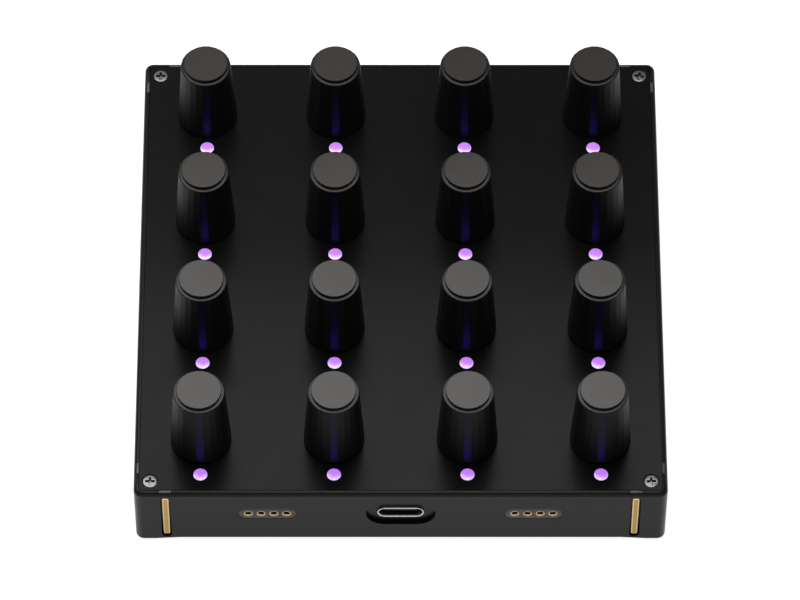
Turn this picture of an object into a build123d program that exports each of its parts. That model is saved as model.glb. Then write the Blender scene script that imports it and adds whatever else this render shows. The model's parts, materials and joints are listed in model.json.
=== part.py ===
from build123d import *
from math import atan2, degrees
import os

# Sizes are millimetres. The frame has +Z up, the front wall with the socket faces -Y,
# and the origin lies on the desk under the middle of the case.

# Knob grid, which runs on at the same pitch across cases that stand side by side
knob_rows = "abcd"
knob_columns = 4
knob_pitch = 26.6
case_gap = 0.05

# Case: a square moulded tray
case_height = 16.45
corner_radius = 1.7
rim_round = 0.95
rim_width = 1.0
wall_thickness = 2.4
floor_thickness = 2.0

# Underside: four corner lands with a shallow relief between them
land_step = 0.42
land_length = 4.0
land_ramp = 4.8

# Feet
foot_stand = 0.58
foot_diameter = 8.0
foot_margin = 1.0

# Top plate and its four countersunk screws
plate_thickness = 1.0
plate_edge_gap = 0.12
plate_corner_radius = 0.6
screw_inset = 3.28
screw_head_diameter = 2.85
screw_head_sink = 0.15
screw_diameter = 1.6
screw_length = 6.5
screw_clearance = 0.03
post_width = 5.2

# Knobs: a tapered body with flat grip facets and a raised cap, widths across the flats
knob_facets = 24
knob_lift = 0.35
knob_body_height = 16.67
knob_base_width = 12.12
knob_rim_width = 10.12
knob_cap_width = 9.0
knob_cap_height = 0.85
knob_bore_depth = 12.0
knob_bore_clearance = 0.02

# Encoders: a housing on the board, a D shaft that turns and travels, a switch plunger below it
encoder_width = 11.7
encoder_height = 7.0
encoder_plate_gap = 0.83
shaft_diameter = 6.0
shaft_flat = 1.5
shaft_clearance = 0.05
shaft_end_gap = 0.2
shaft_hole_clearance = 0.3
press_travel = 0.25
switch_base = 1.0
switch_stop_gap = 0.1
plunger_height = 1.0
plunger_gap = 0.02
plunger_clearance = 0.2

# Lamps: a light pipe in front of each knob, over its lamp on the board
pipe_diameter = 2.75
pipe_clearance = 0.05
pipe_proud = 0.3
lamp_width = 2.8
lamp_height = 1.6
lamp_gap = 1.25
pipe_gap = 0.3

# Main board
board_thickness = 1.6
board_gap = 0.3
rest_length = 8.0
rest_width = 3.0
chip_width = 9.0
chip_height = 1.2

# Magnets in vertical slots near the ends of each wall, with a plug in the rim above
magnet_diameter = 1.3
magnet_length = 13.2
magnet_inset = 6.3
magnet_clearance = 0.05
slot_width = 2.0
slot_end_gap = 0.6
slot_drop = 1.28
plug_width = 2.5
plug_thickness = 0.5
plug_height = 0.5
plug_clearance = 0.05

# Contact blocks: two in each wall, four gold pads standing on the sunk face of each
block_width = 11.5
block_height = 3.5
block_clearance = 0.05
block_recess = 0.3
pad_count = 4
pad_pitch = 2.54
pad_diameter = 1.8
pad_sides = 12

# Socket in the front wall, in an obround pocket for the plug
usb_width = 8.94
usb_height = 3.26
usb_wall = 0.3
usb_length = 7.4
usb_recess = 0.3
usb_clearance = 0.2
tongue_width = 6.7
tongue_height = 0.7
tongue_length = 6.4
pocket_width = 13.9
pocket_height = 7.8
pocket_depth = 1.45

# Heights, from the desk up
top_z = foot_stand + case_height
plate_under_z = top_z - plate_thickness
board_top_z = plate_under_z - encoder_plate_gap - encoder_height
board_under_z = board_top_z - board_thickness
floor_top_z = foot_stand + floor_thickness
relief_z = foot_stand + land_step
port_z = board_top_z + usb_height / 2
knob_bottom_z = top_z + knob_lift
knob_rim_z = knob_bottom_z + knob_body_height
switch_z = board_top_z + switch_base
plunger_z = switch_z + switch_stop_gap + press_travel
shaft_bottom_z = plunger_z + plunger_height + plunger_gap

# Places and sizes shared by several pieces
case_size = knob_columns * knob_pitch - case_gap
face_y = -case_size / 2
cavity_size = case_size - 2 * wall_thickness
seat_size = case_size - 2 * rim_width
screw_place = case_size / 2 - screw_inset
foot_place = case_size / 2 - land_length - land_ramp - foot_margin - foot_diameter / 2
lamp_offset = encoder_width / 2 + lamp_gap + lamp_width / 2
slot_length = magnet_length + 2 * slot_end_gap
slot_depth = magnet_diameter + 2 * magnet_clearance
slot_z = top_z - slot_drop - slot_length / 2
bore_radius = shaft_diameter / 2 + shaft_clearance
plunger_width = 2**0.5 * (bore_radius - plunger_clearance)


def knob_places():
    """Name, x and y of each knob: rows from the back, columns from the left."""
    places = []
    for row, letter in enumerate(knob_rows):
        for column in range(knob_columns):
            x = (column - (knob_columns - 1) / 2) * knob_pitch
            y = ((len(knob_rows) - 1) / 2 - row) * knob_pitch
            places.append((letter + str(column + 1), x, y))
    return places


def screw_places():
    return [(x, y) for x in (-screw_place, screw_place) for y in (-screw_place, screw_place)]


def column(radius, bottom, top, x=0, y=0):
    """An upright cylinder between two heights."""
    return extrude(Pos(x, y, bottom) * Circle(radius), top - bottom)


def slab(width, depth, bottom, top, x=0, y=0):
    """An upright block between two heights."""
    return extrude(Pos(x, y, bottom) * Rectangle(width, depth), top - bottom)


def lathe(points):
    """A solid turned about Z from an outline of radius and height."""
    return revolve(make_face(Plane.XZ * Polyline(*points, close=True)), Axis.Z)


def into_front(sketch, x, z, depth, inset=0):
    """A sketch pushed into the front wall, starting at an inset behind its face."""
    plane = Plane.XZ.offset(-face_y - inset)
    return extrude(plane * Pos(x, z) * sketch, -depth)


def on_four_walls(shapes):
    """Copies of front-wall features for all four walls."""
    return [Rot(0, 0, 90 * quarter) * shape for quarter in range(4) for shape in shapes]


def d_section(radius):
    """The outline of a shaft with one flat."""
    flat = shaft_flat + radius - shaft_diameter / 2
    return Circle(radius) - Pos(0, flat + radius) * Rectangle(2 * radius, 2 * radius)


def pad_xs(block_x):
    """Middles of the pads on the block at block_x."""
    return [block_x + (index - (pad_count - 1) / 2) * pad_pitch for index in range(pad_count)]


def knob_section(width):
    """A many-sided outline of a knob, with one flat to the front."""
    return RegularPolygon(width / 2, knob_facets, major_radius=False, rotation=180 / knob_facets)


def block_xs():
    return [-knob_pitch, knob_pitch]


def magnet_xs():
    return [face_y + magnet_inset, -face_y - magnet_inset]


def make_case_block():
    """The outside of the case, before anything is cut from it."""
    outline = RectangleRounded(case_size, case_size, corner_radius)
    block = extrude(Pos(0, 0, foot_stand) * outline, case_height)
    return fillet(block.faces().sort_by(Axis.Z)[-1].edges(), rim_round)


def make_case():
    shell = make_case_block()
    shell -= slab(cavity_size, cavity_size, floor_top_z, top_z)
    seat = RectangleRounded(seat_size, seat_size, plate_corner_radius)
    shell -= extrude(Pos(0, 0, plate_under_z) * seat, plate_thickness)
    # Screw posts in the corners, and rests for the board on the floor
    for x, y in screw_places():
        shell += slab(post_width, post_width, floor_top_z, plate_under_z, x, y)
        hole_bottom = top_z - screw_head_sink - screw_length - screw_clearance
        shell -= column(screw_diameter / 2 + screw_clearance, hole_bottom, plate_under_z, x, y)
    for side in (-1, 1):
        shell += slab(rest_width, rest_length, floor_top_z, board_under_z, side * knob_pitch, 0)
        shell += slab(rest_length, rest_width, floor_top_z, board_under_z, 0, side * knob_pitch)
    # Shallow relief along X and along Y, which leaves a land at each corner
    long_half = case_size / 2 - land_length
    short_half = long_half - land_ramp
    corners = [
        (-long_half, foot_stand),
        (long_half, foot_stand),
        (short_half, relief_z),
        (-short_half, relief_z),
    ]
    relief = extrude(make_face(Plane.XZ * Polyline(*corners, close=True)), case_size, both=True)
    shell -= relief
    shell -= Rot(0, 0, 90) * relief
    # Magnet slots, plug notches and contact pockets in each wall
    slot = SlotOverall(slot_length, slot_width, rotation=90)
    cuts = [into_front(slot, x, slot_z, slot_depth) for x in magnet_xs()]
    notch_width = plug_width + 2 * plug_clearance
    notch_depth = plug_thickness + plug_clearance
    notch = Rectangle(notch_width, plug_height + plug_clearance, align=(Align.CENTER, Align.MAX))
    cuts += [into_front(notch, x, top_z, notch_depth, rim_width - notch_depth) for x in magnet_xs()]
    opening = SlotOverall(block_width + 2 * block_clearance, block_height + 2 * block_clearance)
    cuts += [into_front(opening, x, port_z, wall_thickness) for x in block_xs()]
    shell -= on_four_walls(cuts)
    # Plug pocket and the hole for the socket
    shell -= into_front(SlotOverall(pocket_width, pocket_height), 0, port_z, pocket_depth)
    socket_hole = SlotOverall(usb_width + 2 * usb_clearance, usb_height + 2 * usb_clearance)
    shell -= into_front(socket_hole, 0, port_z, wall_thickness)
    return shell


def make_top_plate():
    size = seat_size - 2 * plate_edge_gap
    outline = RectangleRounded(size, size, plate_corner_radius - plate_edge_gap)
    plate = extrude(Pos(0, 0, plate_under_z) * outline, plate_thickness)
    shaft_hole = shaft_diameter / 2 + shaft_hole_clearance
    for name, x, y in knob_places():
        plate -= column(shaft_hole, plate_under_z, top_z, x, y)
        plate -= column(pipe_diameter / 2 + pipe_clearance, plate_under_z, top_z, x, y - lamp_offset)
    sink_radius = screw_head_diameter / 2 + screw_head_sink + screw_clearance
    for x, y in screw_places():
        plate -= column(screw_diameter / 2 + shaft_clearance, plate_under_z, top_z, x, y)
        sink = Cone(0, sink_radius, sink_radius, align=(Align.CENTER, Align.CENTER, Align.MAX))
        plate -= Pos(x, y, top_z) * sink
    return plate


def make_screws():
    head_z = top_z - screw_head_sink
    head = screw_head_diameter / 2
    shank = screw_diameter / 2
    outline = [
        (0, head_z),
        (head, head_z),
        (shank, head_z - head + shank),
        (shank, head_z - screw_length),
        (0, head_z - screw_length),
    ]
    return [Pos(x, y) * lathe(outline) for x, y in screw_places()]


def make_knob():
    taper = degrees(atan2(knob_base_width - knob_rim_width, 2 * knob_body_height))
    body = extrude(Pos(0, 0, knob_bottom_z) * knob_section(knob_base_width), knob_body_height, taper=taper)
    cap = extrude(Pos(0, 0, knob_rim_z) * knob_section(knob_cap_width), knob_cap_height)
    bore = Pos(0, 0, knob_bottom_z) * d_section(shaft_diameter / 2 + knob_bore_clearance)
    return body + cap - extrude(bore, knob_bore_depth)


def make_shaft():
    shaft_top_z = knob_bottom_z + knob_bore_depth - shaft_end_gap
    return extrude(Pos(0, 0, shaft_bottom_z) * d_section(shaft_diameter / 2), shaft_top_z - shaft_bottom_z)


def make_plunger():
    return slab(plunger_width, plunger_width, plunger_z, plunger_z + plunger_height)


def make_encoder_housing():
    housing = slab(encoder_width, encoder_width, board_top_z, board_top_z + encoder_height)
    return housing - column(bore_radius, switch_z, board_top_z + encoder_height)


def make_light_pipe():
    pipe_bottom = board_top_z + lamp_height + pipe_gap
    return column(pipe_diameter / 2, pipe_bottom, top_z + pipe_proud, 0, -lamp_offset)


def make_board():
    size = cavity_size - 2 * board_gap
    board = slab(size, size, board_under_z, board_top_z)
    notch = post_width + 2 * board_gap
    for x, y in screw_places():
        board -= slab(notch, notch, board_under_z, board_top_z, x, y)
    lamps = [
        slab(lamp_width, lamp_width, board_top_z, board_top_z + lamp_height, x, y - lamp_offset)
        for name, x, y in knob_places()
    ]
    chip = slab(chip_width, chip_width, board_top_z, board_top_z + chip_height)
    return [board, chip] + lamps


def make_magnet(x):
    y = face_y + magnet_clearance + magnet_diameter / 2
    return column(magnet_diameter / 2, slot_z - magnet_length / 2, slot_z + magnet_length / 2, x, y)


def make_plug(x):
    """A plug whose top follows the round of the rim."""
    outline = Rectangle(plug_width, plug_height, align=(Align.CENTER, Align.MAX))
    return into_front(outline, x, top_z, plug_thickness, rim_width - plug_thickness) & make_case_block()


def make_contact_block(x):
    outline = SlotOverall(block_width, block_height)
    return into_front(outline, x, port_z, wall_thickness - block_recess, block_recess)


def make_contact_pad(x):
    return into_front(RegularPolygon(pad_diameter / 2, pad_sides), x, port_z, block_recess)


def make_usb_socket():
    outer = SlotOverall(usb_width, usb_height)
    inner = SlotOverall(usb_width - 2 * usb_wall, usb_height - 2 * usb_wall)
    shell = into_front(outer, 0, port_z, usb_length, usb_recess)
    mouth_depth = usb_length - usb_wall
    shell -= into_front(inner, 0, port_z, mouth_depth, usb_recess)
    tongue_inset = usb_recess + mouth_depth - tongue_length
    tongue = into_front(Rectangle(tongue_width, tongue_height), 0, port_z, tongue_length, tongue_inset)
    return [shell, tongue]


def make_feet():
    sides = (-foot_place, foot_place)
    return [column(foot_diameter / 2, 0, relief_z, x, y) for x in sides for y in sides]


def save(name, solids):
    """One file for a node, which is one solid or a group of like solids."""
    shape = Compound(children=solids) if len(solids) > 1 else solids[0]
    export_step(shape, "parts/" + name + ".step")


os.makedirs("parts", exist_ok=True)
save("case", [make_case()])
save("top_plate", [make_top_plate()])
save("panel_screws", make_screws())
save("main_board", make_board())
save("usb_socket", make_usb_socket())
save("rubber_feet", make_feet())
save("magnets", on_four_walls([make_magnet(x) for x in magnet_xs()]))
save("magnet_plugs", on_four_walls([make_plug(x) for x in magnet_xs()]))
save("contact_blocks", on_four_walls([make_contact_block(x) for x in block_xs()]))
save("contact_pads", on_four_walls([make_contact_pad(pad) for x in block_xs() for pad in pad_xs(x)]))

knob = make_knob()
shaft = make_shaft()
plunger = make_plunger()
housing = make_encoder_housing()
pipe = make_light_pipe()
save("encoder_housings", [Pos(x, y) * housing for name, x, y in knob_places()])
save("light_pipes", [Pos(x, y) * pipe for name, x, y in knob_places()])
for name, x, y in knob_places():
    save("knob_" + name, [Pos(x, y) * knob])
    save("shaft_" + name, [Pos(x, y) * shaft])
    save("plunger_" + name, [Pos(x, y) * plunger])
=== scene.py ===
import json
from math import atan2, cos, pi, radians, sin

import bmesh
import bpy
from mathutils import Matrix, Vector

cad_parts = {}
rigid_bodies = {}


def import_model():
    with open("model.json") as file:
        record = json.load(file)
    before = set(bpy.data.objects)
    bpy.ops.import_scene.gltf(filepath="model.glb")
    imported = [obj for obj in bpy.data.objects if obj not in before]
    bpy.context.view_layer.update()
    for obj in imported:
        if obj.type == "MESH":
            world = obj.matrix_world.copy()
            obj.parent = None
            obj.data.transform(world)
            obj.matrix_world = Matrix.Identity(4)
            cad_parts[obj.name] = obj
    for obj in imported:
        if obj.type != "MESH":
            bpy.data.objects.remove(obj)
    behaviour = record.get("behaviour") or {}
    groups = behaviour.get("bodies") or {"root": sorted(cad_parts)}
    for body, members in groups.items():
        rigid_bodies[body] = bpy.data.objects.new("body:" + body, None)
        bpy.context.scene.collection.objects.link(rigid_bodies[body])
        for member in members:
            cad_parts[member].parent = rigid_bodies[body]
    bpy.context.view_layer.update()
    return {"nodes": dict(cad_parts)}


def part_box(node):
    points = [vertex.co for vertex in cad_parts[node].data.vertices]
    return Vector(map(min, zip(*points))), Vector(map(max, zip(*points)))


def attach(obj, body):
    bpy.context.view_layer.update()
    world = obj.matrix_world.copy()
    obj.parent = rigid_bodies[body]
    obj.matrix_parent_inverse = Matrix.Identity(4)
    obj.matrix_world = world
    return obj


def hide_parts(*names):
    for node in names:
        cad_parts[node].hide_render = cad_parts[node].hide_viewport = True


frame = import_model()
nodes = frame["nodes"]


# Case: a square tray moulded in one piece from warm black plastic with a fine sparked grain.
# Its upper edge is rounded, and pockets in its four walls take the socket, the contacts
# and the magnets. The walls pick up the pale table in front of them.
mm = 0.001
wall_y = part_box("case")[0].y
case_black = (0.0056, 0.0037, 0.0026)
case_black_light = (0.0075, 0.0051, 0.0037)


def grained_plastic(name, dark, light, smoothest, roughest, grain, relief, shine=0.5):
    """Moulded plastic: speckled shade, cloudy gloss and a fine raised grain."""
    noise_low = 0.3
    noise_high = 0.7
    clouds_per_grain = 0.05
    finish = bpy.data.materials.new(name)
    finish.use_nodes = True
    tree = finish.node_tree
    shader = tree.nodes["Principled BSDF"]
    shader.inputs["Specular IOR Level"].default_value = shine
    place = tree.nodes.new("ShaderNodeTexCoord")
    speckle = tree.nodes.new("ShaderNodeTexNoise")
    speckle.inputs["Scale"].default_value = 1 / grain
    speckle.inputs["Detail"].default_value = 3.0
    tree.links.new(place.outputs["Object"], speckle.inputs["Vector"])
    shade = tree.nodes.new("ShaderNodeValToRGB")
    shade.color_ramp.elements[0].position = noise_low
    shade.color_ramp.elements[0].color = (*dark, 1)
    shade.color_ramp.elements[1].position = noise_high
    shade.color_ramp.elements[1].color = (*light, 1)
    tree.links.new(speckle.outputs["Fac"], shade.inputs["Fac"])
    tree.links.new(shade.outputs["Color"], shader.inputs["Base Color"])
    cloud = tree.nodes.new("ShaderNodeTexNoise")
    cloud.inputs["Scale"].default_value = clouds_per_grain / grain
    tree.links.new(place.outputs["Object"], cloud.inputs["Vector"])
    gloss = tree.nodes.new("ShaderNodeMapRange")
    gloss.inputs["From Min"].default_value = noise_low
    gloss.inputs["From Max"].default_value = noise_high
    gloss.inputs["To Min"].default_value = smoothest
    gloss.inputs["To Max"].default_value = roughest
    tree.links.new(cloud.outputs["Fac"], gloss.inputs["Value"])
    tree.links.new(gloss.outputs["Result"], shader.inputs["Roughness"])
    raised = tree.nodes.new("ShaderNodeBump")
    raised.inputs["Strength"].default_value = 0.6
    raised.inputs["Distance"].default_value = relief
    tree.links.new(speckle.outputs["Fac"], raised.inputs["Height"])
    tree.links.new(raised.outputs["Normal"], shader.inputs["Normal"])
    return finish


def dress(piece, finish):
    """Gives a piece its finish in place of what it came with."""
    piece.data.materials.clear()
    piece.data.materials.append(finish)


def soften_edges(piece, radius):
    """Joins a node's split corners, then rounds its hard edges."""
    normals = piece.data.attributes.get("custom_normal")
    if normals:
        piece.data.attributes.remove(normals)
    piece.data.shade_smooth()
    weld = piece.modifiers.new("weld", "WELD")
    weld.merge_threshold = 0.001 * mm
    flats = piece.modifiers.new("flats", "DECIMATE")
    flats.decimate_type = "DISSOLVE"
    flats.angle_limit = radians(0.5)
    edges = piece.modifiers.new("edges", "BEVEL")
    edges.width = radius
    edges.segments = 2
    edges.limit_method = "ANGLE"
    edges.angle_limit = radians(40)
    facing = piece.modifiers.new("facing", "WEIGHTED_NORMAL")
    facing.keep_sharp = True


case_plastic = grained_plastic(
    "case_plastic", case_black, case_black_light,
    smoothest=0.26, roughest=0.31, grain=0.25 * mm, relief=0.003 * mm, shine=0.155,
)
dress(nodes["case"], case_plastic)
soften_edges(nodes["case"], 0.08 * mm)


# Magnets: gold-plated bars with softened ends and a crowned face, pressed into upright slots
# near the ends of each wall. Their sides and the outer strips of the crown are painted pale gold as a
# highlight.
bar_low, bar_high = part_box("magnets")
bar_width = 1.3 * mm
bar_length = bar_high.z - bar_low.z
bar_z = (bar_low.z + bar_high.z) / 2
bar_x = -wall_y - 6.3 * mm
bar_back = 1.3 * mm
bar_face = 0.05 * mm
bar_corner = 0.35 * mm
least_corner = 0.02 * mm
corner_steps = 6
crown_radius = 1.2 * mm
crown_rings = 8
crown_step = bar_width / 15.6
highlight_strips = 4
end_faces = 2
plating_gold = (0.44, 0.275, 0.08)
plating_gold_deep = (0.36, 0.22, 0.058)
# The pale gold for the sides and outer crown strips of the bars is a painted highlight.
plating_painted_highlight = (0.72, 0.56, 0.33)
plating_painted_highlight_deep = (0.58, 0.44, 0.23)


def in_wall(points, quarter):
    """Points drawn on a wall (along it, up, out of it), put on one of the four walls."""
    turn = Matrix.Rotation(quarter * pi / 2, 3, "Z")
    return [turn @ Vector((point.x, wall_y - point.z, point.y)) for point in points]


def bridge(shape, near, far):
    """Joins two loops of equally many points with a strip of faces."""
    for i in range(len(near)):
        j = (i + 1) % len(near)
        shape.faces.new((near[i], near[j], far[j], far[i]))


def as_piece(name, shape, finish, crease):
    """A dressed piece made from a shape, whose corners sharper than the crease stay hard."""
    mesh = bpy.data.meshes.new(name)
    shape.to_mesh(mesh)
    shape.free()
    mesh.shade_smooth()
    mesh.set_sharp_from_angle(angle=crease)
    piece = bpy.data.objects.new(name, mesh)
    bpy.context.collection.objects.link(piece)
    dress(piece, finish)
    return piece


def skin(name, stacks, finish, through=False):
    """One piece from stacks of rings, closed at both ends, or joined end to end where it is open."""
    shape = bmesh.new()
    for rings in stacks:
        loops = [[shape.verts.new(point) for point in ring] for ring in rings]
        if through:
            loops.append(loops[0])
        else:
            shape.faces.new(reversed(loops[0]))
            shape.faces.new(loops[-1])
        for near, far in zip(loops, loops[1:]):
            bridge(shape, near, far)
    return as_piece(name, shape, finish, radians(32))


def plated_metal(name, deep, bright, smoothest, roughest, grain, relief):
    """Metal with a slightly uneven plating: cloudy tone and gloss, and a faint ripple."""
    finish = grained_plastic(name, deep, bright, smoothest, roughest, grain, relief)
    finish.node_tree.nodes["Principled BSDF"].inputs["Metallic"].default_value = 1.0
    return finish


def bar_ring(inset, depth, x):
    """One upright outline of a bar, a rectangle with rounded corners."""
    corner = max(bar_corner - inset, least_corner)
    reach_x = bar_width / 2 - inset - corner
    reach_z = bar_length / 2 - inset - corner
    points = []
    for index, (side_x, side_z) in enumerate(((1, 1), (-1, 1), (-1, -1), (1, -1))):
        for step in range(corner_steps + 1):
            angle = pi / 2 * (index + step / corner_steps)
            along = x + side_x * reach_x + corner * cos(angle)
            up = bar_z + side_z * reach_z + corner * sin(angle)
            points.append(Vector((along, up, depth)))
    return points


def bar_rings(x):
    """A bar from its back to the crest of its crowned face."""
    rings = [bar_ring(0, -bar_back, x)]
    for step in range(crown_rings):
        inset = crown_step * step
        reach = bar_width / 2 - inset
        fall = crown_radius - (crown_radius**2 - reach**2) ** 0.5
        rings.append(bar_ring(inset, -bar_face - fall, x))
    return rings


bar_stacks = []
for quarter in range(4):
    for x in (-bar_x, bar_x):
        bar_stacks.append([in_wall(ring, quarter) for ring in bar_rings(x)])
magnet_gold = plated_metal(
    "magnet_gold", plating_gold_deep, plating_gold,
    smoothest=0.2, roughest=0.3, grain=0.3 * mm, relief=0.002 * mm,
)
magnet_painted_highlight = plated_metal(
    "magnet_painted_highlight", plating_painted_highlight_deep, plating_painted_highlight,
    smoothest=0.2, roughest=0.3, grain=0.5 * mm, relief=0.001 * mm,
)
magnet_bars = skin("magnet_bars", bar_stacks, magnet_gold)
magnet_bars.data.materials.append(magnet_painted_highlight)
bar_faces = len(magnet_bars.data.polygons) // len(bar_stacks)
highlight_faces = range(end_faces, end_faces + highlight_strips * len(bar_stacks[0][0]))
# The sides and the outer crown strips take the pale gold, a painted highlight.
for polygon in magnet_bars.data.polygons:
    if polygon.index % bar_faces in highlight_faces:
        polygon.material_index = 1
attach(magnet_bars, "base")
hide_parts("magnets")


# Magnet plugs: small grey moulded inserts that close the rim above each magnet slot.
# They are pressed in flush from above.
plug_grey = (0.06, 0.058, 0.056)
plug_grey_light = (0.08, 0.078, 0.075)
plug_plastic = grained_plastic(
    "plug_plastic", plug_grey, plug_grey_light,
    smoothest=0.4, roughest=0.5, grain=0.2 * mm, relief=0.004 * mm,
)
dress(nodes["magnet_plugs"], plug_plastic)
soften_edges(nodes["magnet_plugs"], 0.05 * mm)


# Contact blocks: obround bezels moulded in a lighter grey-brown plastic, two in each wall.
# Each one sits flush in its pocket and has four round wells for the contacts.
block_low, block_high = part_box("contact_blocks")
block_width = 11.5 * mm
block_height = 3.5 * mm
block_back = 2.4 * mm
block_face = 0.04 * mm
block_round = 0.08 * mm
block_xs = (-26.6 * mm, 26.6 * mm)
block_z = (block_low.z + block_high.z) / 2
block_profile = [
    (0, block_back),
    (0, block_face + block_round),
    (0.3 * block_round, block_face + 0.3 * block_round),
    (block_round, block_face),
]
well_radius = 0.91 * mm
well_depth = 1.3 * mm
well_points = 32
contact_pitch = 2.54 * mm
contact_shifts = [(index - 1.5) * contact_pitch for index in range(4)]
bezel_brown = (0.06, 0.0525, 0.045)
bezel_brown_light = (0.082, 0.072, 0.062)


def circle(radius, height, count, x, y):
    """A level ring of points."""
    steps = [2 * pi * step / count for step in range(count)]
    return [Vector((x + radius * cos(a), y + radius * sin(a), height)) for a in steps]


def obround(width, height, depth, x, y, end_points=20):
    """A slot-shaped ring of points, counted round both of its ends."""
    radius = height / 2
    straight = (width - height) / 2
    points = []
    for side, start in ((1, -pi / 2), (-1, pi / 2)):
        for step in range(end_points + 1):
            angle = start + pi * step / end_points
            along = x + side * straight + radius * cos(angle)
            points.append(Vector((along, y + radius * sin(angle), depth)))
    return points


def rim_edges(shape, loop):
    """The edges that already run round a loop."""
    return [shape.edges.get((loop[i], loop[i - 1])) for i in range(len(loop))]


def holed_block(shape, block_x, quarter):
    """One bezel: a rounded rim, a back, and a face with four wells."""
    loops = []
    for inset, sink in block_profile:
        ring = obround(block_width - 2 * inset, block_height - 2 * inset, -sink, block_x, block_z)
        loops.append([shape.verts.new(point) for point in in_wall(ring, quarter)])
    shape.faces.new(reversed(loops[0]))
    for near, far in zip(loops, loops[1:]):
        bridge(shape, near, far)
    border = rim_edges(shape, loops[-1])
    for shift in contact_shifts:
        mouth = circle(well_radius, -block_face, well_points, block_x + shift, block_z)
        foot = circle(well_radius, -well_depth, well_points, block_x + shift, block_z)
        top = [shape.verts.new(point) for point in in_wall(mouth, quarter)]
        bottom = [shape.verts.new(point) for point in in_wall(foot, quarter)]
        bridge(shape, top, bottom)
        shape.faces.new(bottom)
        border += rim_edges(shape, top)
    bmesh.ops.triangle_fill(shape, use_beauty=True, use_dissolve=False, edges=border)


block_shape = bmesh.new()
for quarter in range(4):
    for block_x in block_xs:
        holed_block(block_shape, block_x, quarter)
bmesh.ops.recalc_face_normals(block_shape, faces=block_shape.faces)
block_plastic = grained_plastic(
    "block_plastic", bezel_brown, bezel_brown_light,
    smoothest=0.45, roughest=0.6, grain=0.2 * mm, relief=0.004 * mm,
)
contact_bezels = as_piece("contact_bezels", block_shape, block_plastic, radians(50))
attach(contact_bezels, "base")
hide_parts("contact_blocks")


# Contacts: turned brass cups with gold plating, pressed into the wells of the blocks.
# A short lead-in opens into a deep plain hole for the mating pin; past a small depth its faces are painted
# dark brown as shade.
cup_profile = [
    (0.9, -1.25),
    (0.9, -0.1),
    (0.88, -0.05),
    (0.84, -0.03),
    (0.77, -0.05),
    (0.71, -0.12),
    (0.64, -0.32),
    (0.62, -0.45),
    (0.62, -1.15),
]
cup_points = 28
shade_start_depth = 0.36 * mm
contact_gold_light = (0.8, 0.61, 0.36)
contact_gold_deep = (0.62, 0.44, 0.21)
# Dark brown for the deep faces of the cups: painted shade.
bore_shade_brown = (0.004, 0.0022, 0.001)
bore_shade_brown_light = (0.008, 0.0045, 0.002)
cup_stacks = []
for quarter in range(4):
    for block_x in block_xs:
        for shift in contact_shifts:
            rings = [circle(r * mm, h * mm, cup_points, block_x + shift, block_z) for r, h in cup_profile]
            cup_stacks.append([in_wall(ring, quarter) for ring in rings])
contact_gold = plated_metal(
    "contact_gold", contact_gold_deep, contact_gold_light,
    smoothest=0.2, roughest=0.32, grain=0.2 * mm, relief=0.002 * mm,
)
contact_bore_shade = grained_plastic(
    "contact_bore_shade", bore_shade_brown, bore_shade_brown_light,
    smoothest=0.4, roughest=0.5, grain=0.2 * mm, relief=0.002 * mm, shine=0.2,
)
contact_cups = skin("contact_cups", cup_stacks, contact_gold)
contact_cups.data.materials.append(contact_bore_shade)
# Faces deeper than a small depth into the wall take the dark brown, painted shade.
for polygon in contact_cups.data.polygons:
    if max(abs(polygon.center.x), abs(polygon.center.y)) < -wall_y - shade_start_depth:
        polygon.material_index = 1
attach(contact_cups, "base")
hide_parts("contact_pads")


# Main board: a dark laminate with solder mask over faint copper tracks, which carries the
# controller chip, the lamps and the encoders. It lies on the rests inside the case.
mask_dark = (0.006, 0.02, 0.012)
mask_track = (0.012, 0.045, 0.026)


def masked_laminate(name):
    """Solder mask: fine tracks under a glossy film."""
    finish = bpy.data.materials.new(name)
    finish.use_nodes = True
    tree = finish.node_tree
    shader = tree.nodes["Principled BSDF"]
    shader.inputs["Roughness"].default_value = 0.35
    place = tree.nodes.new("ShaderNodeTexCoord")
    tracks = tree.nodes.new("ShaderNodeTexBrick")
    tracks.inputs["Color1"].default_value = (*mask_dark, 1)
    tracks.inputs["Color2"].default_value = (*mask_dark, 1)
    tracks.inputs["Mortar"].default_value = (*mask_track, 1)
    tracks.inputs["Scale"].default_value = 300.0
    tracks.inputs["Mortar Size"].default_value = 0.04
    tree.links.new(place.outputs["Object"], tracks.inputs["Vector"])
    tree.links.new(tracks.outputs["Color"], shader.inputs["Base Color"])
    raised = tree.nodes.new("ShaderNodeBump")
    raised.inputs["Strength"].default_value = 0.4
    raised.inputs["Distance"].default_value = 0.03 * mm
    tree.links.new(tracks.outputs["Fac"], raised.inputs["Height"])
    tree.links.new(raised.outputs["Normal"], shader.inputs["Normal"])
    return finish


dress(nodes["main_board"], masked_laminate("board_laminate"))


# Socket shell: drawn stainless steel with a rolled lip, bright outside; past a short depth inside it is
# painted flat black, shade on the steel walls and the insulator's own black at the back.
# It is soldered to the board's front edge and shows in the pocket of the front wall.
shell_low, shell_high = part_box("usb_socket")
shell_width = shell_high.x - shell_low.x
shell_height = shell_high.z - shell_low.z
shell_z = (shell_low.z + shell_high.z) / 2
shell_front = wall_y - shell_low.y
shell_back = wall_y - shell_high.y
shell_wall = 0.26 * mm
lip_round = 0.13 * mm
lip_steps = 4
lip_flare = 0.22 * mm
flare_depth = 0.8 * mm
bright_depth = 0.45 * mm
shell_shade_depth = 0.5 * mm
socket_floor = shell_back + shell_wall
steel_bright = (0.72, 0.705, 0.68)
steel_dull = (0.66, 0.645, 0.625)
# Flat black for the shell's deep inner faces, painted shade, and for the tongue and the socket's back,
# their own black.
shade_and_tongue_black = (0.004, 0.004, 0.004)
shade_and_tongue_black_light = (0.008, 0.008, 0.008)


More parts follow.
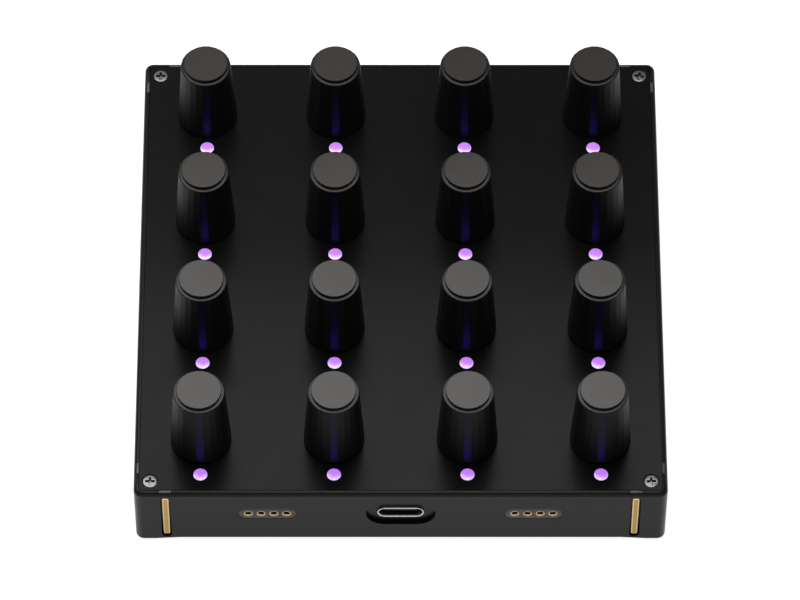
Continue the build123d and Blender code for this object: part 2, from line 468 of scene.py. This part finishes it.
def shell_ring(inset, depth):
    """One outline of the shell, which flares a little at the sides of its mouth."""
    flare = lip_flare * max(0.0, 1 - (shell_front - depth) / flare_depth)
    width = shell_width + 2 * (flare - inset)
    return in_wall(obround(width, shell_height - 2 * inset, depth, 0.0, shell_z), 0)


shell_rings = [shell_ring(0, shell_back), shell_ring(0, shell_front - lip_round)]
for step in range(1, lip_steps + 1):
    turn = pi / 2 * step / lip_steps
    shell_rings.append(shell_ring(lip_round * (1 - cos(turn)), shell_front - lip_round * (1 - sin(turn))))
for step in range(lip_steps + 1):
    turn = pi / 2 * step / lip_steps
    inset = shell_wall - lip_round * (1 - sin(turn))
    shell_rings.append(shell_ring(inset, shell_front - lip_round * (1 - cos(turn))))
shell_rings.append(shell_ring(shell_wall, shell_front - bright_depth))
shell_rings.append(shell_ring(shell_wall, socket_floor))
socket_steel = plated_metal(
    "socket_steel", steel_dull, steel_bright,
    smoothest=0.28, roughest=0.36, grain=1.0 * mm, relief=0.001 * mm,
)
socket_shade_and_tongue = grained_plastic(
    "socket_shade_and_tongue", shade_and_tongue_black, shade_and_tongue_black_light,
    smoothest=0.4, roughest=0.5, grain=0.2 * mm, relief=0.003 * mm,
)
socket_shell = skin("socket_shell", [shell_rings], socket_steel)
socket_shell.data.materials.append(socket_shade_and_tongue)
outer_faces = range(end_faces, end_faces + 2 * len(shell_rings[0]))
# Faces deeper than a short way into the shell, but for its outer sides, take the flat black: painted shade
# on the steel walls.
for polygon in socket_shell.data.polygons:
    deep = polygon.center.y > wall_y - shell_front + shell_shade_depth
    if deep and polygon.index not in outer_faces:
        polygon.material_index = 1
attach(socket_shell, "base")
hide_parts("usb_socket")


# Pocket floor: a shallow plate of the case's own plastic, moulded with it, that closes the bottom
# of the socket's pocket. It leaves a narrow gap round the shell.
floor_face = 0.8 * mm
floor_back = 1.4 * mm
floor_width = 13.8 * mm
floor_height = 7.7 * mm
floor_gap = 0.18 * mm
mouth_width = shell_width + lip_flare + 2 * floor_gap
mouth_height = shell_height + 2 * floor_gap


def floor_ring(width, height, depth):
    """One outline of the plate or of its mouth."""
    return in_wall(obround(width, height, -depth, 0.0, shell_z), 0)


floor_rings = [
    floor_ring(mouth_width, mouth_height, floor_back),
    floor_ring(floor_width, floor_height, floor_back),
    floor_ring(floor_width, floor_height, floor_face),
    floor_ring(mouth_width, mouth_height, floor_face),
]
pocket_floor = skin("pocket_floor", [floor_rings], case_plastic, through=True)
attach(pocket_floor, "base")


# Socket tongue: a flat black moulding with a rounded tip, fixed to the back of the shell.
# Twelve gold-plated strips lie on each of its two faces.
tongue_width = 6.7 * mm
tongue_height = 0.7 * mm
tongue_tip = shell_front - 0.7 * mm
tongue_round = 0.2 * mm
tongue_points = 8
strip_count = 12
strip_pitch = 0.5 * mm
strip_width = 0.26 * mm
strip_rise = 0.02 * mm
strip_tip = tongue_tip - 0.5 * mm


def tongue_ring(inset, depth):
    """One outline of the tongue."""
    width = tongue_width - 2 * inset
    height = tongue_height - 2 * inset
    return in_wall(obround(width, height, depth, 0.0, shell_z, tongue_points), 0)


def strip_ring(x, z, depth):
    """The four corners of a strip."""
    half = strip_width / 2
    corners = [(-half, -strip_rise), (half, -strip_rise), (half, strip_rise), (-half, strip_rise)]
    return in_wall([Vector((x + a, z + b, depth)) for a, b in corners], 0)


tongue_rings = [
    tongue_ring(0, socket_floor),
    tongue_ring(0, tongue_tip - tongue_round),
    tongue_ring(0.3 * tongue_round, tongue_tip - 0.3 * tongue_round),
    tongue_ring(tongue_round, tongue_tip),
]
socket_tongue = skin("socket_tongue", [tongue_rings], socket_shade_and_tongue)
strip_stacks = []
for index in range(strip_count):
    x = (index - (strip_count - 1) / 2) * strip_pitch
    for z in (shell_z - tongue_height / 2, shell_z + tongue_height / 2):
        strip_stacks.append([strip_ring(x, z, socket_floor), strip_ring(x, z, strip_tip)])
socket_strips = skin("socket_strips", strip_stacks, contact_gold)
for piece, slot in ((socket_tongue, "block_plastic"), (socket_strips, "contact_gold")):
    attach(piece, "base")


# Encoders: grey glass-filled bodies on the board, each with its switch plunger and flatted steel shaft.
# They stay hidden under the plate but for a sliver of shaft under each knob.
body_grey = (0.02, 0.021, 0.022)
body_grey_light = (0.032, 0.033, 0.034)
plunger_cream = (0.55, 0.54, 0.5)
plunger_cream_light = (0.66, 0.65, 0.61)
shaft_dull = (0.5, 0.5, 0.49)
shaft_bright = (0.62, 0.61, 0.6)
encoder_plastic = grained_plastic(
    "encoder_plastic", body_grey, body_grey_light,
    smoothest=0.5, roughest=0.62, grain=0.4 * mm, relief=0.006 * mm,
)
plunger_plastic = grained_plastic(
    "plunger_plastic", plunger_cream, plunger_cream_light,
    smoothest=0.4, roughest=0.5, grain=0.3 * mm, relief=0.004 * mm,
)
shaft_steel = plated_metal(
    "shaft_steel", shaft_dull, shaft_bright,
    smoothest=0.25, roughest=0.35, grain=0.15 * mm, relief=0.002 * mm,
)
dress(nodes["encoder_housings"], encoder_plastic)
soften_edges(nodes["encoder_housings"], 0.1 * mm)
for kind, finish in (("plunger_", plunger_plastic), ("shaft_", shaft_steel)):
    for name in sorted(nodes):
        if name.startswith(kind):
            dress(nodes[name], finish)
            soften_edges(nodes[name], 0.08 * mm)


# Light pipes: milky acrylic pegs with a low domed head, pushed up through the plate.
# Each glows violet from the lamp below it; its milky colour is painted pink over the lamp as glow, and its
# glow and colour pale into a painted highlight towards the edge that faces the front.
pipe_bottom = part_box("light_pipes")[0].z
pipe_radius = 1.375 * mm
pipe_shift = -8.5 * mm
pipe_points = 40
dome_height = 0.32 * mm
dome_steps = 8
dome_stride = pipe_radius / 8.15
plate_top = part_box("top_plate")[1].z
knob_places = {}
for name in sorted(nodes):
    if name.startswith("knob_"):
        low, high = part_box(name)
        knob_places[name] = ((low.x + high.x) / 2, (low.y + high.y) / 2)
knob_pitch = knob_places["knob_a2"][0] - knob_places["knob_a1"][0]
lamp_violet = (0.0191, 0.0052, 0.5)
lamp_soft = (0.0191, 0.0052, 0.036)
lamp_painted_highlight = (0.0191, 0.0136, 0.0273)
lamp_power = 22.0
glow_back = 0.15 * mm
# The glow pales towards the front edge of each dome into a painted highlight.
glow_and_painted_highlight_tones = [
    (0.75 * mm, lamp_violet),
    (0.85 * mm, lamp_soft),
    (1.25 * mm, lamp_soft),
    (1.62 * mm, lamp_painted_highlight),
]
# The milky base colour is pink over the lamp, painted glow, and white towards the front edge, a painted
# highlight.
milk_painted_glow_pink = (0.32, 0.21, 0.3)
milk_painted_highlight_white = (0.78, 0.76, 0.82)
milk_back = 0.6 * mm
milk_painted_tones = [(1.38 * mm, milk_painted_glow_pink), (1.8 * mm, milk_painted_highlight_white)]
milk_cloud = 0.4 * mm
milk_swing = 0.2 * mm


def dome_rings(x, y):
    """A peg whose head is part of a ball."""
    ball = (pipe_radius**2 + dome_height**2) / (2 * dome_height)
    rings = [circle(pipe_radius, z, pipe_points, x, y) for z in (pipe_bottom, plate_top)]
    for step in range(1, dome_steps + 1):
        radius = pipe_radius - dome_stride * step
        height = (ball**2 - radius**2) ** 0.5 - ball + dome_height
        rings.append(circle(radius, plate_top + height, pipe_points, x, y))
    return rings


def lamp_reach(tree, place, back):
    """Slightly clouded distance from a point just behind the middle of the nearest lamp."""
    axes = tree.nodes.new("ShaderNodeSeparateXYZ")
    tree.links.new(place.outputs["Object"], axes.inputs["Vector"])
    spot = tree.nodes.new("ShaderNodeCombineXYZ")
    first_x, first_y = knob_places["knob_a1"]
    for axis, start in (("X", first_x), ("Y", first_y + pipe_shift + back)):
        moved = tree.nodes.new("ShaderNodeMath")
        moved.operation = "SUBTRACT"
        moved.inputs[1].default_value = start
        tree.links.new(axes.outputs[axis], moved.inputs[0])
        one = tree.nodes.new("ShaderNodeMath")
        one.operation = "WRAP"
        one.inputs[1].default_value = knob_pitch / 2
        one.inputs[2].default_value = -knob_pitch / 2
        tree.links.new(moved.outputs["Value"], one.inputs[0])
        tree.links.new(one.outputs["Value"], spot.inputs[axis])
    reach = tree.nodes.new("ShaderNodeVectorMath")
    reach.operation = "LENGTH"
    tree.links.new(spot.outputs["Vector"], reach.inputs[0])
    cloud = tree.nodes.new("ShaderNodeTexNoise")
    cloud.inputs["Scale"].default_value = 1 / milk_cloud
    tree.links.new(place.outputs["Object"], cloud.inputs["Vector"])
    uneven = tree.nodes.new("ShaderNodeMath")
    uneven.operation = "MULTIPLY_ADD"
    uneven.inputs[1].default_value = milk_swing
    tree.links.new(cloud.outputs["Fac"], uneven.inputs[0])
    tree.links.new(reach.outputs["Value"], uneven.inputs[2])
    return uneven.outputs["Value"]


def lit_acrylic(name):
    """Milky acrylic with light inside: violet glow over the lamp under a polished skin, with a painted
    pink glow in its colour and a painted highlight where glow and colour pale away from the lamp.
    """
    finish = bpy.data.materials.new(name)
    finish.use_nodes = True
    tree = finish.node_tree
    shader = tree.nodes["Principled BSDF"]
    shader.inputs["Roughness"].default_value = 0.12
    shader.inputs["IOR"].default_value = 1.55
    shader.inputs["Emission Strength"].default_value = lamp_power
    place = tree.nodes.new("ShaderNodeTexCoord")
    for socket, back, tones in (
        ("Emission Color", glow_back, glow_and_painted_highlight_tones),
        ("Base Color", milk_back, milk_painted_tones),
    ):
        inner, inner_tone = tones[0]
        outer, outer_tone = tones[-1]
        away = tree.nodes.new("ShaderNodeMapRange")
        away.inputs["From Min"].default_value = inner
        away.inputs["From Max"].default_value = outer
        tree.links.new(lamp_reach(tree, place, back), away.inputs["Value"])
        shade = tree.nodes.new("ShaderNodeValToRGB")
        shade.color_ramp.elements[0].color = (*inner_tone, 1)
        shade.color_ramp.elements[1].color = (*outer_tone, 1)
        for reach, tone in tones[1:-1]:
            stop = shade.color_ramp.elements.new((reach - inner) / (outer - inner))
            stop.color = (*tone, 1)
        tree.links.new(away.outputs["Result"], shade.inputs["Fac"])
        tree.links.new(shade.outputs["Color"], shader.inputs[socket])
    return finish


pipe_stacks = [dome_rings(x, y + pipe_shift) for x, y in knob_places.values()]
light_domes = skin("light_domes", pipe_stacks, lit_acrylic("lamp_plastic"))
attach(light_domes, "base")
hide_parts("light_pipes")


# Top plate: a thin metal sheet with a fine matte black powder coat, punched for shafts and pipes.
# It lies flush in the seat of the case and is held by four countersunk screws.
coat_black = (0.0016, 0.0016, 0.0016)
coat_black_light = (0.003, 0.003, 0.0029)
panel_coat = grained_plastic(
    "panel_metal", coat_black, coat_black_light,
    smoothest=0.23, roughest=0.27, grain=0.3 * mm, relief=0.003 * mm, shine=0.12,
)
dress(nodes["top_plate"], panel_coat)
soften_edges(nodes["top_plate"], 0.06 * mm)


# Panel screws: small countersunk steel screws with a cross recess, driven into the corner posts.
# The heads sit just below the plate.
screw_low, screw_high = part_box("panel_screws")
head_radius = 1.425 * mm
head_round = 0.08 * mm
head_top = screw_high.z
screw_place = screw_high.x - head_radius
shank_radius = 0.8 * mm
point_radius = 0.56 * mm
point_length = 0.3 * mm
arm_length = 0.96 * mm
arm_half = 0.28 * mm
arm_narrowing = 0.35
recess_depth = 0.95 * mm
recess_taper = 0.25 * mm
recess_steps = 5
near_one = 1.0001
arm_tip = atan2(arm_half, arm_length)
first_angles = [0, arm_tip]
first_angles += [arm_tip + (pi / 4 - arm_tip) * step / recess_steps for step in range(1, recess_steps + 1)]
quarter_angles = first_angles + [pi / 2 - angle for angle in reversed(first_angles[1:-1])]
screw_angles = [angle + quarter * pi / 2 for quarter in range(4) for angle in quarter_angles]
screw_turns = {(-1, -1): 0, (1, -1): 2, (-1, 1): 0, (1, 1): -12}
screw_dull = (0.165, 0.163, 0.16)
screw_bright = (0.215, 0.212, 0.208)


def screw_ring(radius, height):
    """A round outline whose points stand in line with those of the recess."""
    return [Vector((radius * cos(a), radius * sin(a), height)) for a in screw_angles]


def cross_ring(shrink, height):
    """The outline of the cross recess, smaller as it goes down."""
    length = arm_length - shrink
    half = arm_half - arm_narrowing * shrink
    points = []
    for angle in screw_angles:
        along = max(abs(cos(angle)), abs(sin(angle)))
        across = min(abs(cos(angle)), abs(sin(angle)))
        at_tip = across * length <= half * along * near_one
        reach = length / along if at_tip else half / across
        points.append(Vector((reach * cos(angle), reach * sin(angle), height)))
    return points


screw_rings = [
    screw_ring(point_radius, screw_low.z),
    screw_ring(shank_radius, screw_low.z + point_length),
    screw_ring(shank_radius, head_top - head_radius + shank_radius),
    screw_ring(head_radius, head_top - head_round),
    screw_ring(head_radius - 0.25 * head_round, head_top - 0.375 * head_round),
    screw_ring(head_radius - head_round, head_top),
    cross_ring(0, head_top),
    cross_ring(recess_taper, head_top - recess_depth),
]
screw_stacks = []
for (side_x, side_y), turn in screw_turns.items():
    spin = Matrix.Rotation(radians(turn), 3, "Z")
    shift = Vector((side_x * screw_place, side_y * screw_place, 0))
    screw_stacks.append([[spin @ point + shift for point in ring] for ring in screw_rings])
screw_steel = plated_metal(
    "screw_steel", screw_dull, screw_bright,
    smoothest=0.24, roughest=0.34, grain=0.3 * mm, relief=0.003 * mm,
)
cross_screws = skin("cross_screws", screw_stacks, screw_steel)
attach(cross_screws, "base")
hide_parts("panel_screws")


# Knobs: turned black grips, 24 flats round a slight taper, with a narrow rim and a raised cap.
# Each is pushed onto the flatted shaft of its encoder, clear of the plate.
knob_low, knob_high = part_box("knob_a1")
knob_flats = 24
knob_base = (knob_high.x - knob_low.x) / 2
knob_rim = 5.06 * mm
knob_cap = 4.46 * mm
knob_rim_z = knob_high.z - 0.85 * mm
knob_bore = 3.02 * mm
bore_top = knob_low.z + 12 * mm
flat_edge_round = 0.5 * mm
base_round = 0.15 * mm
rim_chamfer = 0.12 * mm
rim_rise = 0.08 * mm
cap_round = 0.06 * mm
cap_middle = 0.2 * mm
level_share = 0.9
knob_black = (0.0012, 0.001, 0.0008)
knob_black_light = (0.002, 0.0017, 0.0014)
# The cap's lighter base colour is painted light on the up-facing faces; the near black of the sides is the
# plastic's own colour.
cap_painted_light_dark = (0.0142, 0.0103, 0.0072)
cap_painted_light_pale = (0.017, 0.0125, 0.0086)


def flats_ring(apothem, height):
    """A many-sided ring with one flat to the front and a small round on each corner."""
    half = pi / knob_flats
    points = []
    for index in range(knob_flats):
        middle = -pi / 2 + half + 2 * half * index
        centre_reach = (apothem - flat_edge_round) / cos(half)
        centre = Vector((centre_reach * cos(middle), centre_reach * sin(middle), height))
        for swing in (-half, 0, half):
            angle = middle + swing
            points.append(centre + flat_edge_round * Vector((cos(angle), sin(angle), 0)))
    return points


def round_ring(radius, height):
    """A round ring whose points stand in line with those of the flats."""
    points = []
    for point in flats_ring(knob_base, height):
        reach = Vector((point.x, point.y, 0)).normalized() * radius
        points.append(Vector((reach.x, reach.y, height)))
    return points


def knob_side(height):
    """Distance from the axis to a flat at a height."""
    share = (height - knob_low.z) / (knob_rim_z - knob_low.z)
    return knob_base + (knob_rim - knob_base) * share


knob_rings = [
    round_ring(knob_bore, bore_top),
    round_ring(knob_bore, knob_low.z),
    flats_ring(knob_base - base_round, knob_low.z),
    flats_ring(knob_base - base_round / 3, knob_low.z + base_round / 3),
    flats_ring(knob_side(knob_low.z + base_round), knob_low.z + base_round),
    flats_ring(knob_side(knob_rim_z - rim_chamfer), knob_rim_z - rim_chamfer),
    flats_ring(knob_rim - rim_chamfer, knob_rim_z),
    round_ring(knob_cap, knob_rim_z + rim_rise),
    round_ring(knob_cap, knob_high.z - cap_round),
    round_ring(knob_cap - cap_round, knob_high.z),
    round_ring(cap_middle, knob_high.z),
]


def turned_plastic(name):
    """Black plastic with the fine level marks of turning, which draw reflections out up and down."""
    finish = grained_plastic(
        name, knob_black, knob_black_light,
        smoothest=0.42, roughest=0.46, grain=0.2 * mm, relief=0.0005 * mm, shine=0.055,
    )
    tree = finish.node_tree
    shader = tree.nodes["Principled BSDF"]
    shader.inputs["Coat Weight"].default_value = 1.0
    shader.inputs["Coat Roughness"].default_value = 0.48
    shader.inputs["Coat IOR"].default_value = 1.14
    shader.inputs["Anisotropic"].default_value = 0.8
    shader.inputs["Anisotropic Rotation"].default_value = 0.25
    around = tree.nodes.new("ShaderNodeTangent")
    around.direction_type = "RADIAL"
    around.axis = "Z"
    tree.links.new(around.outputs["Tangent"], shader.inputs["Tangent"])
    return finish


knob_turned = turned_plastic("knob_plastic")
knob_top_painted_light = grained_plastic(
    "knob_cap_painted_light", cap_painted_light_dark, cap_painted_light_pale,
    smoothest=0.26, roughest=0.3, grain=0.2 * mm, relief=0.0005 * mm,
)
knob_ledge = grained_plastic(
    "knob_ledge_plastic", knob_black, knob_black_light,
    smoothest=0.26, roughest=0.3, grain=0.2 * mm, relief=0.0005 * mm, shine=0.36,
)
knob_grip = skin("grip_a1", [knob_rings], knob_turned)
knob_grip.data.materials.append(knob_top_painted_light)
knob_grip.data.materials.append(knob_ledge)
# Up-facing faces above the rim take the lighter cap colour, painted light; the ledge keeps the black.
for polygon in knob_grip.data.polygons:
    if polygon.normal.z > level_share:
        polygon.material_index = 1 if polygon.center.z > knob_rim_z + rim_rise else 2
facing = knob_grip.modifiers.new("facing", "WEIGHTED_NORMAL")
facing.keep_sharp = True
for name, (x, y) in knob_places.items():
    if name == "knob_a1":
        grip = knob_grip
    else:
        grip = knob_grip.copy()
        grip.name = name.replace("knob", "grip")
        bpy.context.collection.objects.link(grip)
    grip.location = (x, y, 0)
for name in knob_places:
    grip = bpy.data.objects[name.replace("knob", "grip")]
    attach(grip, name)
    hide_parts(name)


# Rubber feet: four soft black discs with a rounded lower edge, moulded from rubber.
# They are stuck into the relief under the case and lift it just off the table.
foot_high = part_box("rubber_feet")[1]
foot_radius = 4.0 * mm
foot_place = foot_high.x - foot_radius
foot_points = 48
foot_profile = [(3.5, 0.0), (3.78, 0.04), (3.95, 0.16), (4.0, 0.32)]
rubber_black = (0.012, 0.012, 0.012)
rubber_black_light = (0.022, 0.022, 0.021)
foot_stacks = []
for x in (-foot_place, foot_place):
    for y in (-foot_place, foot_place):
        rings = [circle(r * mm, h * mm, foot_points, x, y) for r, h in foot_profile]
        rings.append(circle(foot_radius, foot_high.z, foot_points, x, y))
        foot_stacks.append(rings)
foot_rubber = grained_plastic(
    "foot_rubber", rubber_black, rubber_black_light,
    smoothest=0.75, roughest=0.9, grain=0.3 * mm, relief=0.01 * mm,
)
soft_feet = skin("soft_feet", foot_stacks, foot_rubber)
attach(soft_feet, "base")
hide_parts("rubber_feet")


# Studio: a plain pale table top that runs out of sight, with a wide panel above the case, a weak one
# behind it, a small key lamp and a low front fill, all in a dim room, so that the black surfaces
# pick up one clean grey.
table_half = 6.0
table_grey = (0.45, 0.45, 0.45)
table_glow = 0.92
table_gloss_share = 0.9
room_dim = 0.08
room_gloss_share = 0.43
table_sides = ((-1, -1), (1, -1), (1, 1), (-1, 1))
table_corners = [(x * table_half, y * table_half, 0) for x, y in table_sides]
table_mesh = bpy.data.meshes.new("table")
table_mesh.from_pydata(table_corners, [], [(0, 1, 2, 3)])
table = bpy.data.objects.new("table", table_mesh)
bpy.context.collection.objects.link(table)


def shown_share(tree, glossy_share):
    """How much of the white a ray sees: all of it to the eye and through clear pieces, less in gloss."""
    path = tree.nodes.new("ShaderNodeLightPath")
    clear = tree.nodes.new("ShaderNodeMath")
    clear.operation = "MAXIMUM"
    tree.links.new(path.outputs["Is Camera Ray"], clear.inputs[0])
    tree.links.new(path.outputs["Is Transmission Ray"], clear.inputs[1])
    share = tree.nodes.new("ShaderNodeMath")
    share.operation = "MULTIPLY_ADD"
    share.inputs[1].default_value = glossy_share
    tree.links.new(path.outputs["Is Glossy Ray"], share.inputs[0])
    tree.links.new(clear.outputs["Value"], share.inputs[2])
    return share.outputs["Value"]


def table_finish(name):
    """A pale matt table that keeps a faint shadow of what stands on it."""
    finish = bpy.data.materials.new(name)
    finish.use_nodes = True
    tree = finish.node_tree
    tree.nodes.remove(tree.nodes["Principled BSDF"])
    matt = tree.nodes.new("ShaderNodeBsdfDiffuse")
    matt.inputs["Color"].default_value = (*table_grey, 1)
    white = tree.nodes.new("ShaderNodeEmission")
    bright = tree.nodes.new("ShaderNodeMath")
    bright.operation = "MULTIPLY"
    bright.inputs[1].default_value = table_glow
    tree.links.new(shown_share(tree, table_gloss_share), bright.inputs[0])
    tree.links.new(bright.outputs["Value"], white.inputs["Strength"])
    both = tree.nodes.new("ShaderNodeAddShader")
    tree.links.new(matt.outputs["BSDF"], both.inputs[0])
    tree.links.new(white.outputs["Emission"], both.inputs[1])
    tree.links.new(both.outputs["Shader"], tree.nodes["Material Output"].inputs["Surface"])
    return finish


dress(table, table_finish("table_white"))


def softbox(name, centre, aim, width, height, brightness, turn=0.0):
    """A soft lamp whose face has one even brightness."""
    lamp = bpy.data.lights.new(name, "AREA")
    lamp.shape = "RECTANGLE"
    lamp.size = width
    lamp.size_y = height
    lamp.energy = brightness * pi * width * height
    holder = bpy.data.objects.new(name, lamp)
    holder.location = centre
    way = (Vector(aim) - Vector(centre)).to_track_quat("-Z", "Y")
    holder.rotation_euler = (way.to_matrix() @ Matrix.Rotation(radians(turn), 3, "Z")).to_euler()
    holder.visible_camera = False
    bpy.context.collection.objects.link(holder)


softbox(
    "top_panel", centre=(-0.08, 0.041, 0.2), aim=(-0.08, 0.0409, 0),
    width=0.34, height=0.16, brightness=2.6, turn=-4,
)
softbox(
    "back_glow", centre=(-0.15, 0.26, 0.2), aim=(-0.15, 0.2599, 0),
    width=0.3, height=0.24, brightness=0.3,
)
softbox("key_box", centre=(0, -0.11, 0.5), aim=(0, 0, 0), width=0.14, height=0.12, brightness=5.0)
softbox("front_fill", centre=(0, -0.6, 0.12), aim=(0, -0.05, 0), width=0.7, height=0.24, brightness=0.9)

room = bpy.data.worlds.new("studio")
bpy.context.scene.world = room
room.use_nodes = True
tree = room.node_tree
dim = tree.nodes["Background"]
dim.inputs["Color"].default_value = (1, 1, 1, 1)
dim.inputs["Strength"].default_value = room_dim
white = tree.nodes.new("ShaderNodeBackground")
white.inputs["Color"].default_value = (1, 1, 1, 1)
white.inputs["Strength"].default_value = 1.0
choice = tree.nodes.new("ShaderNodeMixShader")
tree.links.new(shown_share(tree, room_gloss_share), choice.inputs["Fac"])
tree.links.new(dim.outputs["Background"], choice.inputs[1])
tree.links.new(white.outputs["Background"], choice.inputs[2])
tree.links.new(choice.outputs["Shader"], tree.nodes["World Output"].inputs["Surface"])
bpy.context.scene.view_settings.view_transform = "Standard"


# Camera: a long lens, high in front of the case and turned a touch to one side.
# Its angle, distance and focal length are those worked out for the picture.
rise = radians(56.057)
yaw = radians(-0.299)
roll = radians(-0.253)
distance = 1183.39 * mm
target = Vector((-0.076 * mm, -6.177 * mm, 16.5 * mm))
focal_pixels = 5821.98
picture_width = 800.0
film_width = 36.0
back = Vector((sin(yaw) * cos(rise), -cos(yaw) * cos(rise), sin(rise)))
right = Vector((cos(yaw), sin(yaw), 0))
up = back.cross(right)
camera_x = right * cos(roll) - up * sin(roll)
camera_y = right * sin(roll) + up * cos(roll)
lens = bpy.data.cameras.new("camera")
lens.sensor_width = film_width
lens.sensor_fit = "HORIZONTAL"
lens.lens = focal_pixels * film_width / picture_width
lens.clip_start = 0.05
lens.clip_end = 60.0
camera = bpy.data.objects.new("camera", lens)
facing_axes = Matrix((camera_x, camera_y, back)).transposed().to_4x4()
camera.matrix_world = Matrix.Translation(target + back * distance) @ facing_axes
bpy.context.collection.objects.link(camera)
bpy.context.scene.camera = camera
